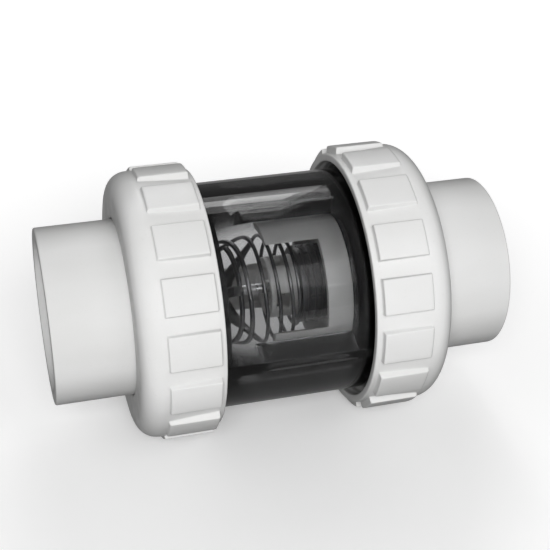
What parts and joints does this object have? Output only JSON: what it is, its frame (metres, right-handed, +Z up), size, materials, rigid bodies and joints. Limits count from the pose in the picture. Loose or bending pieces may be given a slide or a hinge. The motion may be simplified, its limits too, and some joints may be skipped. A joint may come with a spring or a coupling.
{
  "type": "true union check valve",
  "caption": "Spring-loaded poppet check valve with a smoke-clear body, two white pad-grip union nuts and plain socket ends, all in plastic.",
  "frame": {"origin": "middle of the valve on its axis, halfway between the two socket faces", "axes": "+X along the valve's axis towards the inlet, +Z up, with the valve lying on its two union nuts"},
  "size_m": [0.1898, 0.1136, 0.1136],
  "materials": {
    "smoke_clear_pvc": "polished, smoke-tinted, clear",
    "white_pvc": "moulded satin",
    "grey_pvc": "moulded satin",
    "white_acetal": "moulded satin",
    "dark_acetal": "moulded satin",
    "black_plastic": "moulded satin",
    "black_rubber": "moulded matt",
    "stainless_steel": "drawn and turned"
  },
  "bodies": {
    "shell": {"valve_body": "smoke_clear_pvc", "seat_ring": "grey_pvc", "seat_ring_oring": "black_rubber", "inlet_face_oring": "black_rubber", "outlet_face_oring": "black_rubber", "spring_retainer": "black_plastic", "stem_bushing": "white_acetal", "retaining_ring": "stainless_steel", "spring": "stainless_steel"},
    "poppet_group": {"poppet": "white_acetal", "poppet_seal": "black_rubber", "seal_retainer": "stainless_steel", "stem_bolt": "stainless_steel", "spring_hub": "dark_acetal", "spring_guide": "white_acetal", "clamp_nut": "stainless_steel", "stem_washer": "stainless_steel", "stem_nut": "stainless_steel"},
    "inlet_connector": {"inlet_end_connector": "white_pvc"},
    "inlet_nut": {"inlet_union_nut": "white_pvc"},
    "outlet_connector": {"outlet_end_connector": "white_pvc"},
    "outlet_nut": {"outlet_union_nut": "white_pvc"}
  },
  "joints": [
    {"name": "poppet_slide", "type": "slide", "parent": "shell", "child": "poppet_group", "axis": [-1, 0, 0], "range_m": [0, 0.012], "stiffness_N_per_m": 500, "springref_m": -0.016, "deforming": ["spring"]},
    {"name": "inlet_connector_slide", "type": "slide", "parent": "shell", "child": "inlet_connector", "axis": [1, 0, 0], "range_m": [0, 0.01801]},
    {"name": "inlet_nut_turn", "type": "hinge", "parent": "inlet_connector", "child": "inlet_nut", "pos_m": [0.05, 0, 0], "axis": [1, 0, 0], "range_deg": [0, 1080]},
    {"name": "outlet_connector_slide", "type": "slide", "parent": "shell", "child": "outlet_connector", "axis": [-1, 0, 0], "range_m": [0, 0.01801]},
    {"name": "outlet_nut_turn", "type": "hinge", "parent": "outlet_connector", "child": "outlet_nut", "pos_m": [-0.05, 0, 0], "axis": [-1, 0, 0], "range_deg": [0, 1080]}
  ],
  "couplings": [
    {"joint": "inlet_connector_slide", "follows": "inlet_nut_turn", "m_per_rad": 0.00095493},
    {"joint": "outlet_connector_slide", "follows": "outlet_nut_turn", "m_per_rad": 0.00095493}
  ]
}
